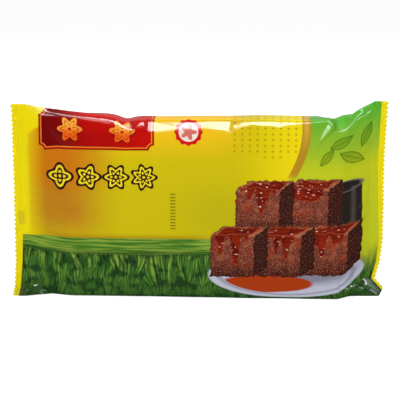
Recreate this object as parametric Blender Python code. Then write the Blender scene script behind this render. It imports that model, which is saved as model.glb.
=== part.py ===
"""Sealed flow pack of glutinous rice cakes, standing on one long side as it is shown on sale.

One film is wrapped round the filling as a tube, closed along the back by a flat fin, and crimped and
cut with pinking teeth at both ends. The pack is shut, so it is one solid: a rounded block that flattens
into a thin leaf at each end. A leaf is taller than the block, so it stands up as an ear above the top,
and its foot is bent forward by the surface that the pack stands on.

Metres. +X runs along the pack to the right, +Y to the back, +Z up. The origin is the middle of the
bounding box, on the surface below.
"""

import math

import bmesh
import bpy
import numpy as np
from mathutils import Matrix

LENGTH = 0.2391
HEIGHT = 0.1203
DEPTH = 0.0195
BASE_RADIUS = 0.005
TOP_RADIUS = 0.0075
PANEL_BULGE = 0.0012

CRIMP_WIDTH = 0.0088
CRIMP_PITCH = 0.0022
CRIMP_RELIEF = 0.00015
LEAF_THICKNESS = 0.0009
TOOTH_PITCH = 0.003
TOOTH_DEPTH = 0.0009

BACK_FIN_FOOT = 0.050
BACK_FIN_WIDTH = 0.012
BACK_FIN_THICKNESS = 0.0007
BACK_FIN_STEP = 0.0004

PUCKER_DEPTH = 0.0006
PUCKER_COUNT = 9

# Each end: how far its sides and its top take to become the block, with the power of each curve, and
# the line its leaf follows from the tip of the foot up to the top of the ear. A row is height,
# outwards and forwards. The tuck is what the foot's tip gains across the crimp, in the same order.
LEFT = {
    "side": -1,
    "side_reach": 0.030,
    "side_power": 1.5,
    "top_reach": 0.080,
    "top_power": 2.6,
    "line": (
        (0.0007, 0.0026, 0.0103),
        (0.0036, 0.0033, 0.0000),
        (0.0210, 0.0020, 0.0000),
        (0.0550, 0.0013, 0.0000),
        (0.0950, 0.0008, 0.0004),
        (0.1283, 0.0000, 0.0030),
    ),
    "tuck": (0.0, 0.0, 0.0),
}
RIGHT = {
    "side": 1,
    "side_reach": 0.019,
    "side_power": 1.15,
    "top_reach": 0.0165,
    "top_power": 1.0,
    "line": (
        (0.0071, 0.0027, 0.0003),
        (0.0131, -0.0027, 0.0000),
        (0.0250, -0.0007, 0.0000),
        (0.0390, 0.0006, 0.0000),
        (0.0950, -0.0008, 0.0008),
        (0.1317, 0.0000, 0.0036),
    ),
    "tuck": (-0.0035, 0.0050, 0.0080),
}
TOP_SHARE_FROM = 0.75

# Dents where the film sinks between the filling and the long top edge: place, half width and depth.
TOP_DENTS = ((-0.0460, 0.006, 0.0022), (0.0826, 0.006, 0.0012))
DENT_FROM = 0.75

BODY_STATION_STEP = 0.0045
TAPER_STATIONS = 9
CORNER_STEPS = 4
TINY = 1e-9
SLOPE_STEP = 0.0001

PRINT_YELLOW = (0.78, 0.62, 0.02, 1.0)
FILM_ROUGHNESS = 0.22
SHARP_FROM = math.radians(40)


def block_runs():
    """The block's outline as runs laid end to end, from the middle of its base to the front and up.

    Each run is (length, radius of its turn or 0 where it is straight, points wanted on it)."""
    base = DEPTH / 2 - BASE_RADIUS
    top = DEPTH / 2 - TOP_RADIUS
    wall = HEIGHT - BASE_RADIUS - TOP_RADIUS
    base_turn = math.pi / 2 * BASE_RADIUS
    top_turn = math.pi / 2 * TOP_RADIUS
    below_fin = BACK_FIN_FOOT - BASE_RADIUS - BACK_FIN_STEP
    above_fin = wall - below_fin - BACK_FIN_WIDTH - 2 * BACK_FIN_STEP
    return [
        (base, 0.0, 2),
        (base_turn, BASE_RADIUS, CORNER_STEPS),
        (wall, 0.0, 11),
        (top_turn, TOP_RADIUS, CORNER_STEPS),
        (2 * top, 0.0, 4),
        (top_turn, TOP_RADIUS, CORNER_STEPS),
        (above_fin, 0.0, 4),
        (BACK_FIN_STEP, 0.0, 1),
        (BACK_FIN_WIDTH, 0.0, 3),
        (BACK_FIN_STEP, 0.0, 1),
        (below_fin, 0.0, 4),
        (base_turn, BASE_RADIUS, CORNER_STEPS),
        (base, 0.0, 2),
    ]


RUNS = block_runs()
GIRTH = sum(length for length, radius, steps in RUNS)
LEAF_HEIGHT = GIRTH / 2
BACK_FIN_TOP = sum(length for length, radius, steps in RUNS[:8])


def outline_samples():
    """Distances along the outline of the block at which every section has a point."""
    samples, start = [], 0.0
    for length, radius, steps in RUNS:
        samples.extend(start + length * step / steps for step in range(steps))
        start += length
    return np.array(samples)


SAMPLES = outline_samples()


def block_section(distance):
    """Points (y, z) of the rounded block at distances along its outline.

    A pen goes round: it moves along (-cos h, sin h) while its heading h grows only on the turns."""
    y, z = np.zeros_like(distance), np.zeros_like(distance)
    pen_y, pen_z, heading, start = 0.0, 0.0, 0.0, 0.0
    for length, radius, steps in RUNS:
        here = (distance >= start) & (distance < start + length)
        along = distance[here] - start
        if radius:
            turned = heading + along / radius
            y[here] = pen_y + radius * (math.sin(heading) - np.sin(turned))
            z[here] = pen_z + radius * (math.cos(heading) - np.cos(turned))
            end = heading + length / radius
            pen_y += radius * (math.sin(heading) - math.sin(end))
            pen_z += radius * (math.cos(heading) - math.cos(end))
            heading = end
        else:
            y[here] = pen_y - math.cos(heading) * along
            z[here] = pen_z + math.sin(heading) * along
            pen_y -= math.cos(heading) * length
            pen_z += math.sin(heading) * length
        start += length
    rise = np.clip(z / HEIGHT, 0.0, 1.0)
    on_panel = np.abs(y) > DEPTH / 2 - BASE_RADIUS
    return y + np.sign(y) * PANEL_BULGE * np.sin(math.pi * rise) ** 2 * on_panel, z


def leaf_line(climb, end, inset):
    """Centre line of the flat leaf at distances up along it from the tip of its foot.

    The rows of the end's line are joined by straight runs, which share the leaf's height between them."""
    rows = np.array(end["line"])
    rows[0] += np.array(end["tuck"]) * min(inset / CRIMP_WIDTH, 1.0)
    lengths = np.linalg.norm(np.diff(rows, axis=0), axis=1)
    climbs = np.concatenate([[0.0], np.cumsum(lengths)])
    along = climb * climbs[-1] / LEAF_HEIGHT
    x = end["side"] * np.interp(along, climbs, rows[:, 1])
    y = -np.interp(along, climbs, rows[:, 2])
    z = np.interp(along, climbs, rows[:, 0])
    return np.stack([x, y, z], axis=1)


def crimp(inset):
    """Extra half thickness of the leaf at a distance in from its cut edge: a row of sharp ridges."""
    phase = (inset / CRIMP_PITCH) % 1.0
    return CRIMP_RELIEF * (1 - abs(2 * phase - 1)) * (inset < CRIMP_WIDTH)


def leaf_section(distance, end, inset):
    """Points of the flattened film: up its front layer, over the top of the ear and down its back.

    The layers stand off the centre line by half the leaf's thickness, along the line's front normal."""
    climb = np.where(distance <= LEAF_HEIGHT, distance, GIRTH - distance)
    points = leaf_line(climb, end, inset)
    rise = leaf_line(climb + SLOPE_STEP, end, inset) - leaf_line(climb - SLOPE_STEP, end, inset)
    steepness = np.hypot(rise[:, 1], rise[:, 2])
    layer = np.where(distance <= LEAF_HEIGHT, 1.0, -1.0)
    to_edge = np.minimum(climb, LEAF_HEIGHT - climb)
    half = LEAF_THICKNESS / 2 + crimp(inset)
    half = layer * half * np.clip(to_edge / LEAF_THICKNESS, 0.0, 1.0) / steepness
    points[:, 1] -= half * rise[:, 2]
    points[:, 2] += half * rise[:, 1]
    return points


def leaf_share(inset, end, block_rise):
    """Share of the leaf's shape at a distance in from the cut edge, for points at heights of the block.

    Both the sides and the top fall from 1 at the crimp to 0 at their reach, each by its own power."""
    way = max(inset - CRIMP_WIDTH, 0.0)
    side = max(1 - way / end["side_reach"], 0.0) ** end["side_power"]
    top = max(1 - way / end["top_reach"], 0.0) ** end["top_power"]
    weight = np.clip((block_rise - TOP_SHARE_FROM) / (1 - TOP_SHARE_FROM), 0.0, 1.0)
    return side + (top - side) * weight**2 * (3 - 2 * weight)


def back_fin(distance):
    """Height of the fin that closes the film along the back, at distances along the outline."""
    inside = (distance > BACK_FIN_TOP - TINY) & (distance < BACK_FIN_TOP + BACK_FIN_WIDTH + TINY)
    return np.where(inside, BACK_FIN_THICKNESS, 0.0)


def dent(x, points):
    """Lowers the top of a section where the film sinks: a bell curve along the pack."""
    depth = sum(d * math.exp(-(((x - place) / width) ** 2)) for place, width, d in TOP_DENTS)
    share = np.clip((points[:, 2] / HEIGHT - DENT_FROM) / (1 - DENT_FROM), 0.0, 1.0) ** 2
    points[:, 2] -= depth * share
    return points


def pucker(distance, share):
    """Shallow folds that gather towards a crimp: a wave along the outline, strongest half way."""
    envelope = 4 * share * (1 - share)
    return PUCKER_DEPTH * envelope * np.sin(2 * math.pi * PUCKER_COUNT * distance / GIRTH)


def section(x, distance):
    """Points of the pack's outline at x along it: the block, melted into the leaf near an end."""
    end = LEFT if x < 0 else RIGHT
    inset = LENGTH / 2 - abs(x)
    block = np.column_stack([np.zeros_like(distance), *block_section(distance)])
    leaf = leaf_section(distance, end, inset)
    share = leaf_share(inset, end, block[:, 2] / HEIGHT)
    points = block + (leaf - block) * share[:, None]
    side = np.where(distance <= LEAF_HEIGHT, -1.0, 1.0)
    upright = (points[:, 2] > 2 * BASE_RADIUS) & (points[:, 2] < HEIGHT - TOP_RADIUS)
    points[:, 1] += side * back_fin(distance) + side * pucker(distance, share) * upright
    points[:, 0] += x
    return dent(x, points)


def stations():
    """Places along the pack that have a section: every crimp ridge, the tapers and the block."""
    half = LENGTH / 2
    places = []
    for end in (LEFT, RIGHT):
        insets = list(np.arange(TOOTH_DEPTH + CRIMP_PITCH / 2, CRIMP_WIDTH, CRIMP_PITCH / 2))
        insets += [CRIMP_WIDTH + end["side_reach"] * k / TAPER_STATIONS for k in range(TAPER_STATIONS + 1)]
        places.extend(end["side"] * (half - inset) for inset in insets)
    left = -half + CRIMP_WIDTH + LEFT["side_reach"]
    right = half - CRIMP_WIDTH - RIGHT["side_reach"]
    count = round((right - left) / BODY_STATION_STEP)
    places.extend(left + (right - left) * k / count for k in range(1, count))
    return sorted(places)


def tooth_samples():
    """Distances along the leaf's edge of the teeth's tips and roots, the same on both layers."""
    teeth = round(LEAF_HEIGHT / TOOTH_PITCH)
    climbs = np.linspace(0.0, LEAF_HEIGHT, 2 * teeth + 1)
    return np.concatenate([climbs, GIRTH - climbs[-2:0:-1]])


def cut_edge(end):
    """Points of the pinked edge: the leaf's outline with every second point cut back by one tooth."""
    distance = tooth_samples()
    points = leaf_section(distance, end, 0.0)
    tip = np.arange(len(distance)) % 2 == 1
    points[:, 0] += end["side"] * (LENGTH / 2 - TOOTH_DEPTH * ~tip)
    return distance, points


def close_end(bm, ring, ring_distance, end):
    """Joins the last ring to the pinked edge with one face for each of its steps, then caps the edge."""
    distance, points = cut_edge(end)
    edge = [bm.verts.new(p) for p in points]
    nearest = [int(np.argmin(np.abs(distance - d))) for d in ring_distance]
    count = len(edge)
    for k in range(len(ring)):
        following = (k + 1) % len(ring)
        first, last = nearest[k], nearest[following]
        if following == 0:
            last = count
        outer = [edge[j % count] for j in range(first, last + 1)]
        face = [ring[following], ring[k], *outer]
        bm.faces.new(face)
    half = count // 2
    for k in range(half):
        front, front_next = edge[k], edge[k + 1]
        back, back_next = edge[-k % count], edge[-(k + 1) % count]
        corners = [front, front_next, back_next, back]
        bm.faces.new(list(dict.fromkeys(corners)))


def build_pack():
    """The whole pack as one mesh: sections bridged into a tube, and a pinked edge at each end."""
    bm = bmesh.new()
    rings = []
    for x in stations():
        verts = [bm.verts.new(p) for p in section(x, SAMPLES)]
        rings.append(verts)
    count = len(SAMPLES)
    for near, far in zip(rings, rings[1:]):
        for k in range(count):
            n = (k + 1) % count
            bm.faces.new([near[k], near[n], far[n], far[k]])
    close_end(bm, rings[0], SAMPLES, LEFT)
    close_end(bm, rings[-1], SAMPLES, RIGHT)
    bmesh.ops.recalc_face_normals(bm, faces=bm.faces)
    mesh = bpy.data.meshes.new("pack")
    bm.to_mesh(mesh)
    bm.free()
    return mesh


def stand_on_origin(mesh):
    """Moves the mesh so that the middle of its bounding box is over the origin and its base at zero."""
    points = np.empty(len(mesh.vertices) * 3)
    mesh.vertices.foreach_get("co", points)
    low, high = points.reshape(-1, 3).min(axis=0), points.reshape(-1, 3).max(axis=0)
    middle = (low + high) / 2
    mesh.transform(Matrix.Translation((-middle[0], -middle[1], -low[2])))


def printed_film():
    """Glossy printed packaging film."""
    material = bpy.data.materials.new("printed_film")
    material.use_nodes = True
    shader = material.node_tree.nodes["Principled BSDF"]
    shader.inputs["Base Color"].default_value = PRINT_YELLOW
    shader.inputs["Roughness"].default_value = FILM_ROUGHNESS
    shader.inputs["Metallic"].default_value = 0.0
    return material


def main():
    for obj in list(bpy.data.objects):
        bpy.data.objects.remove(obj)
    mesh = build_pack()
    stand_on_origin(mesh)
    mesh.materials.append(printed_film())
    mesh.shade_smooth()
    mesh.set_sharp_from_angle(angle=SHARP_FROM)
    pack = bpy.data.objects.new("pack", mesh)
    bpy.context.scene.collection.objects.link(pack)


main()
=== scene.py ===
"""Shut flow pack of brown sugar glutinous rice cake, standing on its long edge on a pale table."""

import math

import bpy
import numpy as np
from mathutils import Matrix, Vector


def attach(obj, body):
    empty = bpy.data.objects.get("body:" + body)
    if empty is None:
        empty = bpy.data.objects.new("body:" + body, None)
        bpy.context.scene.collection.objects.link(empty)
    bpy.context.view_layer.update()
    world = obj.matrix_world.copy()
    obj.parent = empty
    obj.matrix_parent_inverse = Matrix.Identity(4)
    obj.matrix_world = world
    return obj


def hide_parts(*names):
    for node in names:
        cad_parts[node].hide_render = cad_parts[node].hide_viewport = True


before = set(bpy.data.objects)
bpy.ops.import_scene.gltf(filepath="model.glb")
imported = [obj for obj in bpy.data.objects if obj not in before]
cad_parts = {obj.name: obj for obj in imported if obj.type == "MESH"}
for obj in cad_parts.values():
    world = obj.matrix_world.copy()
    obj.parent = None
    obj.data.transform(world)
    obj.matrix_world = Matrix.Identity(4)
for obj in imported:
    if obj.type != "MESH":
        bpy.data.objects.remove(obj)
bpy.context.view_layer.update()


# The film, part one: the form of the tube
# One sheet of printed plastic film is wrapped round the cakes as a tube. Between its ends it takes the
# form of the block of cakes inside, with a slanting shoulder along the front of the top.

PACK_LENGTH = 0.2391
PACK_DEPTH = 0.0195
GIRTH = 0.2689
HALF_GIRTH = GIRTH / 2
PANEL_HEIGHT = 0.1203
PANEL_BULGE = 0.0012
BASE_TURN = 0.0092
BACK_TURN = 0.0085
LOW_FOLD = 0.0016
HIGH_FOLD = 0.0030
SPARE_SAMPLES = 201

# The lower fold widens with the lean of the strip, by this power of its share of the plain lean.
PLAIN_LEAN = math.radians(33)
LOW_FOLD_POWER = 2.35

# Heights of the shoulder's lower fold and of the top above it, and the lean of the strip between them
# from upright in degrees, at places along the pack.
SHOULDER = (
    (-0.1240, 0.1180, 0.1200, 60),
    (-0.1000, 0.1196, 0.1216, 45),
    (-0.0900, 0.1201, 0.1217, 33),
    (-0.0770, 0.1194, 0.1217, 33),
    (-0.0610, 0.1175, 0.1209, 33),
    (-0.0495, 0.1156, 0.1196, 33),
    (-0.0440, 0.1138, 0.1191, 33),
    (-0.0412, 0.1130, 0.1190, 33),
    (-0.0375, 0.1156, 0.1189, 33),
    (-0.0337, 0.1148, 0.1190, 33),
    (-0.0313, 0.1120, 0.1190, 33),
    (-0.0262, 0.1112, 0.1190, 33),
    (-0.0167, 0.1127, 0.1191, 33),
    (0.0023, 0.1135, 0.1193, 33),
    (0.0117, 0.1127, 0.1195, 33),
    (0.0210, 0.1117, 0.1196, 33),
    (0.0222, 0.1130, 0.1198, 33),
    (0.0274, 0.1152, 0.1200, 33),
    (0.0337, 0.1163, 0.1201, 33),
    (0.0387, 0.1155, 0.1201, 33),
    (0.0463, 0.1155, 0.1201, 33),
    (0.0507, 0.1145, 0.1200, 33),
    (0.0538, 0.1156, 0.1200, 33),
    (0.0619, 0.1164, 0.1199, 33),
    (0.0744, 0.1181, 0.1199, 33),
    (0.0790, 0.1190, 0.1211, 33),
    (0.0838, 0.1198, 0.1216, 36),
    (0.0854, 0.1172, 0.1212, 48),
    (0.0868, 0.1142, 0.1208, 56),
    (0.0890, 0.1128, 0.1208, 58),
    (0.0920, 0.1132, 0.1212, 58),
    (0.0965, 0.1164, 0.1207, 56),
    (0.1000, 0.1190, 0.1196, 48),
    (0.1240, 0.1180, 0.1180, 45),
)


def turned(distance, place, length):
    """Share of a turn that lies behind a distance along the film: a smooth step centred on its place."""
    way = np.clip((distance - place) / length + 0.5, 0.0, 1.0)
    return way * way * (3.0 - 2.0 * way)


def spare(length):
    """How much further a smooth quarter turn reaches than half its length: the mean of its cosine."""
    way = np.linspace(0.0, 1.0, SPARE_SAMPLES)
    quarter = turned(way, 0.5, 1.0) * math.pi / 2
    return (float(np.cos(quarter).mean()) - 0.5) * length


PANEL_START = PACK_DEPTH / 2 - 2 * spare(BASE_TURN)


def block(x, distance):
    """Tube's outline round the block, at places x along it and distances round it from its base.

    A pen moves along (-cos h, sin h). Its heading h grows by a smooth step at each fold, and what is
    missing to close the outline is spread over the back panel."""
    places, heights, tops, leans = np.array(SHOULDER).T
    base = PACK_DEPTH / 2 - spare(BASE_TURN)
    lean = np.radians(np.interp(x, places, leans))
    low_height = np.interp(x, places, heights)
    low_turn = LOW_FOLD * (lean / PLAIN_LEAN) ** LOW_FOLD_POWER
    folds_rise = low_turn * (np.sin(lean) / lean - 0.5)
    folds_rise = folds_rise + HIGH_FOLD * (1 - np.sin(lean)) / (math.pi / 2 - lean)
    climb = np.interp(x, places, tops) - low_height - folds_rise
    strip = np.clip(climb / np.cos(lean), 0.0, None) + (low_turn + HIGH_FOLD) / 2
    low = low_height + PANEL_START
    high = low + strip
    back = high + PACK_DEPTH - strip * np.sin(lean) - spare(BACK_TURN)
    rear = GIRTH - base
    up_front = turned(distance, base, BASE_TURN)
    over = turned(distance, low, low_turn) * lean
    over = over + turned(distance, high, HIGH_FOLD) * (math.pi / 2 - lean)
    down_back = turned(distance, back, BACK_TURN)
    under = turned(distance, rear, BASE_TURN)
    heading = (up_front + down_back + under) * math.pi / 2 + over
    step = np.diff(distance, axis=1, prepend=0.0)
    middle = (heading + np.roll(heading, 1, axis=1)) / 2
    middle[:, :1] = heading[:, :1] / 2
    y = np.cumsum(-np.cos(middle) * step, axis=1)
    z = np.cumsum(np.sin(middle) * step, axis=1)
    spread = np.clip((distance - back) / (rear - back), 0.0, 1.0)
    y = y - y[:, -1:] * spread
    z = z - z[:, -1:] * spread
    rise = np.clip(z / PANEL_HEIGHT, 0.0, 1.0)
    on_front = up_front - turned(distance, low, low_turn)
    on_back = down_back - under
    y = y + (on_back - on_front) * PANEL_BULGE * np.sin(math.pi * rise) ** 2
    return y, z


# The film, part two: its ends
# Each end is pressed flat between ribbed jaws into a crimped leaf and cut with pinking teeth. A leaf is
# taller than the block, so it stands up as an ear, and the table bends its foot.

CRIMP_WIDTH = 0.0088
CRIMP_PITCH = 0.0016
CRIMP_RELIEF = 0.00012
LEAF_THICKNESS = 0.0006
TEETH = 44
TOOTH_DEPTH = 0.0013
TOOTH_FADE = 0.0030

# Rows of the line that a leaf follows from the tip of its foot up: height, outwards and forwards.
# The tuck is what the tip gains across the crimp.
LEFT_END = {
    "side": -1.0,
    "side_reach": 0.030,
    "side_power": 1.5,
    "top_reach": 0.080,
    "top_power": 2.6,
    "line": (
        (0.0007, 0.0026, 0.0103),
        (0.0036, 0.0033, 0.0000),
        (0.0210, 0.0020, 0.0000),
        (0.0550, 0.0013, 0.0000),
        (0.0950, 0.0008, 0.0004),
        (0.1190, -0.0004, 0.0050),
        (0.1283, -0.0002, 0.0050),
    ),
    "tuck": (0.0, 0.0, 0.0),
}
RIGHT_END = {
    "side": 1.0,
    "side_reach": 0.019,
    "side_power": 1.15,
    "top_reach": 0.0165,
    "top_power": 1.0,
    "line": (
        (0.0071, 0.0027, 0.0003),
        (0.0131, -0.0027, 0.0000),
        (0.0250, 0.0001, 0.0000),
        (0.0390, 0.0013, 0.0000),
        (0.0950, 0.0001, 0.0008),
        (0.1317, 0.0006, 0.0036),
    ),
    "tuck": (-0.0035, 0.0050, 0.0080),
}
LINE_NUDGE = 0.0001

# Share of the block's height from which a place counts more and more as the top edge.
TOP_SHARE_FROM = 0.75


def leaf_line(climb, inset, end):
    """Places on a leaf's middle line, at distances up it: straight runs between the end's rows.

    The first row moves by the end's tuck across the crimp, so the first run has a length of its own."""
    rows = np.array(end["line"])
    foot = rows[0] + np.array(end["tuck"]) * np.clip(inset / CRIMP_WIDTH, 0.0, 1.0)[..., None]
    first = np.linalg.norm(rows[1] - foot, axis=-1)
    lengths = np.linalg.norm(np.diff(rows[1:], axis=0), axis=1)
    marks = np.concatenate([[0.0], np.cumsum(lengths)])
    along = climb * (first + marks[-1]) / HALF_GIRTH
    share = np.clip(along / first, 0.0, 1.0)[..., None]
    above = np.clip(along - first, 0.0, None)
    upper = np.stack([np.interp(above, marks, rows[1:, k]) for k in range(3)], axis=-1)
    place = np.where(share < 1.0, foot + (rows[1] - foot) * share, upper)
    return place[..., 1] * end["side"], -place[..., 2], place[..., 0]


def leaf(inset, distance, end):
    """The flat end: the front layer goes up the leaf's line and the back layer down it.

    The layers stand apart by the film's thickness along the line's normal and share the jaws' ribs,
    which are a sine wave across the crimp."""
    climb = np.minimum(distance, GIRTH - distance)
    x, y, z = leaf_line(climb, inset, end)
    above = leaf_line(climb + LINE_NUDGE, inset, end)
    below = leaf_line(climb - LINE_NUDGE, inset, end)
    rise_y, rise_z = above[1] - below[1], above[2] - below[2]
    steepness = np.hypot(rise_y, rise_z)
    layer = np.clip((HALF_GIRTH - distance) / LEAF_THICKNESS, -1.0, 1.0)
    layer = layer * np.clip(climb / LEAF_THICKNESS, 0.0, 1.0)
    ribs = CRIMP_RELIEF * np.sin(2 * math.pi * inset / CRIMP_PITCH) * (inset < CRIMP_WIDTH)
    off = (layer * LEAF_THICKNESS / 2 + ribs) / steepness
    return x, y - off * rise_z, z + off * rise_y


def leaf_share(inset, rise, end):
    """How much of the leaf's form a place has: 1 in the crimp, falling by a power to 0 in the block.

    The top edge, where rise nears 1, keeps the leaf's form further in than the sides do."""
    way = np.clip(inset - CRIMP_WIDTH, 0.0, None)
    side = np.clip(1 - way / end["side_reach"], 0.0, 1.0) ** end["side_power"]
    top = np.clip(1 - way / end["top_reach"], 0.0, 1.0) ** end["top_power"]
    weight = np.clip((rise - TOP_SHARE_FROM) / (1 - TOP_SHARE_FROM), 0.0, 1.0)
    return side + (top - side) * weight**2 * (3 - 2 * weight)


def pinked(inset, distance):
    """Inset of the film with its cut edge drawn in between the teeth: a triangle wave, fading inwards."""
    phase = (np.minimum(distance, GIRTH - distance) / HALF_GIRTH * TEETH) % 1.0
    notch = TOOTH_DEPTH * np.abs(2 * phase - 1)
    return inset + notch * np.clip(1 - inset / TOOTH_FADE, 0.0, 1.0)


# The film, part three: its folds and dents
# The film is stiff and a little too wide for the cakes, so it breaks into sharp folds beside the crimps,
# sinks in two places along the top, and carries one flat fin down the back where the tube is closed.

FIN_FOOT = 0.050
FIN_WIDTH = 0.012
FIN_THICKNESS = 0.0007
FIN_EDGE = 0.0008
FOLD_FADE = 0.004

# Dents in the top: place along, half width, depth, and the share of the depth that the front lacks.
# They begin at a share of the block's height.
DENTS = ((-0.0460, 0.0055, 0.0022, 0.0), (0.0838, 0.0064, 0.0036, 1.0))
DENT_FROM = 0.75

# Folds listed one by one: from x and height on the front to x and height, then half width and height of
# the ridge, and how hollow its sides are, from 1 for flat ones. One row goes on with a taper and a left
# side.
FRONT_FOLDS = (
    (-0.1095, 0.1265, -0.1030, 0.1160, 0.0016, 0.00035, 1.6),
    (-0.0995, 0.1150, -0.0830, 0.0990, 0.0034, 0.00045, 1.6),
    (-0.0960, 0.1130, -0.0860, 0.1000, 0.0016, 0.00030, 1.4),
    (-0.1085, 0.0960, -0.0800, 0.0700, 0.0060, 0.00045, 1.4),
    (-0.1090, 0.0660, -0.0780, 0.0560, 0.0045, -0.00045, 1.4),
    (-0.0930, 0.0500, -0.0780, 0.0610, 0.0036, 0.00045, 1.6),
    (-0.1085, 0.0500, -0.0830, 0.0440, 0.0045, 0.00035, 1.4),
    (0.0852, 0.1155, 0.0774, 0.1052, 0.0048, 0.00210, 1.0, 0.6, 0.3),
    (0.0950, 0.1195, 0.0914, 0.1145, 0.0014, 0.00060, 1.4),
    (0.1110, 0.0800, 0.1010, 0.0480, 0.0040, 0.00070, 2.0),
    (0.1095, 0.0600, 0.0960, 0.0340, 0.0030, 0.00070, 2.0),
    (0.1060, 0.0500, 0.0930, 0.0300, 0.0020, -0.00050, 2.0),
    (-0.0392, 0.1170, -0.0366, 0.1128, 0.0013, 0.00040, 1.2),
    (-0.0352, 0.1140, -0.0300, 0.1108, 0.0014, 0.00040, 1.0),
    (0.0196, 0.1108, 0.0234, 0.1170, 0.0010, 0.00045, 1.4),
    (-0.0240, 0.1172, -0.0120, 0.1150, 0.0016, 0.00005, 1.4),
    (-0.0030, 0.1172, 0.0090, 0.1160, 0.0014, 0.00004, 1.4),
)

# The same for the creases that cross the crimps.
SEAL_FOLDS = (
    (-0.1196, 0.1172, -0.1108, 0.1145, 0.0014, 0.00035, 1.8),
    (-0.1196, 0.0118, -0.1120, 0.0128, 0.0012, 0.00030, 1.8),
    (0.1196, 0.1215, 0.1120, 0.1190, 0.0012, 0.00025, 1.8),
)

# The crumpled lower corners: left, right, low and high side of the box, count and height of the folds.
LEFT_CRUMPLE = (-0.1110, -0.0860, -0.0010, 0.0105, 9, 0.00100)
RIGHT_CRUMPLE = (0.0930, 0.1110, 0.0010, 0.0220, 14, 0.00065)

# What the drawn folds lie between. Starts count from the crimp, and reaches are shares of the end's.
FOLD_SEED = 3
LEFT_FOLD_COUNT = 26
RIGHT_FOLD_COUNT = 30
FOLD_STARTS = (-0.0010, 0.0020)
FOLD_HEIGHTS = (0.004, GIRTH - 0.030)
FOLD_REACHES = (0.35, 0.95)
FOLD_SLOPES = (-0.35, 0.35)
FOLD_RIDGES = (0.00018, 0.00050)
FOLD_WIDTHS = (0.0018, 0.0042)
CRUMPLE_LENGTHS = (0.004, 0.012)
CRUMPLE_SHARES = (0.5, 1.0)
CRUMPLE_WIDTHS = (0.0016, 0.0034)

# Soft swells of the film: height, size of a wave, and count of waves.
SWELLS = ((0.00022, 0.050, 7), (0.00007, 0.016, 9))
SWELL_STRETCHES = (0.7, 1.4)


def fold(x, height, start, stop, half_width, ridge, hollow=1.5, taper=0.0, left=1.0):
    """Ridge of a sharp fold: a tent with hollow sides over the straight line from start to stop.

    Taper is the share of its height and width that it loses evenly on the way to its stop, and left is
    how wide its left side is, seen from start to stop, beside its right one."""
    way_x, way_z = stop[0] - start[0], stop[1] - start[1]
    length = way_x**2 + way_z**2
    share = np.clip(((x - start[0]) * way_x + (height - start[1]) * way_z) / length, 0.0, 1.0)
    off = np.hypot(x - start[0] - share * way_x, height - start[1] - share * way_z)
    on_left = way_x * (height - start[1]) > way_z * (x - start[0])
    half_width = half_width * np.where(on_left, left, 1.0)
    return ridge * np.clip(1 - taper * share - off / half_width, 0.0, 1.0) ** hollow


def swell(x, distance, draw, size, count):
    """Soft unevenness: the mean of sine waves of about the given size that run in drawn directions."""
    total = np.zeros(np.broadcast(x, distance).shape)
    for _ in range(count):
        angle, phase = draw.uniform(0, math.pi), draw.uniform(0, 2 * math.pi)
        stretch = draw.uniform(*SWELL_STRETCHES)
        across = x * math.cos(angle) + distance * math.sin(angle)
        total += np.sin(2 * math.pi * across / (size * stretch) + phase)
    return total / count


def end_folds(draw, end, count):
    """Lines of the folds that run in from a crimp, a little aslant, anywhere round the tube."""
    folds = []
    for _ in range(count):
        inset = CRIMP_WIDTH + draw.uniform(*FOLD_STARTS)
        x = end["side"] * (PACK_LENGTH / 2 - inset)
        height = draw.uniform(*FOLD_HEIGHTS)
        length = end["side_reach"] * draw.uniform(*FOLD_REACHES)
        slope = draw.uniform(*FOLD_SLOPES)
        stop = (x - end["side"] * length, height + slope * length)
        ridge = draw.uniform(*FOLD_RIDGES) * draw.choice([-1.0, 1.0])
        folds.append(((x, height), stop, draw.uniform(*FOLD_WIDTHS), ridge))
    return folds


def crumple_folds(draw, crumple):
    """Lines of the short folds of a crumpled corner, drawn inside its box in all directions."""
    left, right, low, high, count, ridge = crumple
    folds = []
    for _ in range(count):
        start = (draw.uniform(left, right), draw.uniform(low, high))
        angle, length = draw.uniform(0, math.pi), draw.uniform(*CRUMPLE_LENGTHS)
        stop = (start[0] + length * math.cos(angle), start[1] + length * math.sin(angle))
        rise = ridge * draw.uniform(*CRUMPLE_SHARES) * draw.choice([-1.0, 1.0])
        folds.append((start, stop, draw.uniform(*CRUMPLE_WIDTHS), rise))
    return folds


def relief(x, distance, inset):
    """How far the film stands out from its plain form: folds, soft swells and the fin of the back."""
    draw = np.random.default_rng(FOLD_SEED)
    height = distance - PANEL_START
    folds = end_folds(draw, LEFT_END, LEFT_FOLD_COUNT) + end_folds(draw, RIGHT_END, RIGHT_FOLD_COUNT)
    folds += crumple_folds(draw, LEFT_CRUMPLE) + crumple_folds(draw, RIGHT_CRUMPLE)
    total = np.zeros(np.broadcast(x, distance).shape)
    for start, stop, half_width, ridge in folds:
        total += fold(x, height, start, stop, half_width, ridge)
    for row in FRONT_FOLDS:
        total += fold(x, height, row[0:2], row[2:4], *row[4:])
    seal = sum(fold(x, height, row[0:2], row[2:4], *row[4:]) for row in SEAL_FOLDS)
    for swell_height, size, count in SWELLS:
        total += swell_height * swell(x, distance, draw, size, count)
    in_block = np.clip((inset - CRIMP_WIDTH) / FOLD_FADE, 0.0, 1.0)
    fin_low = GIRTH - PANEL_START - FIN_FOOT - FIN_WIDTH
    fin = turned(distance, fin_low, FIN_EDGE) - turned(distance, fin_low + FIN_WIDTH, FIN_EDGE)
    return total * in_block + seal + FIN_THICKNESS * fin


# The film, part four: its mesh
# The tube is one closed skin on a grid of places along the pack and distances round it. The places lie
# close together in the crimps, and the two layers meet along the teeth.

RIB_STEPS = 29
BODY_STEPS = 196
ROUND_STEPS = 352
SHARP_EDGE = math.radians(70)


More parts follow.
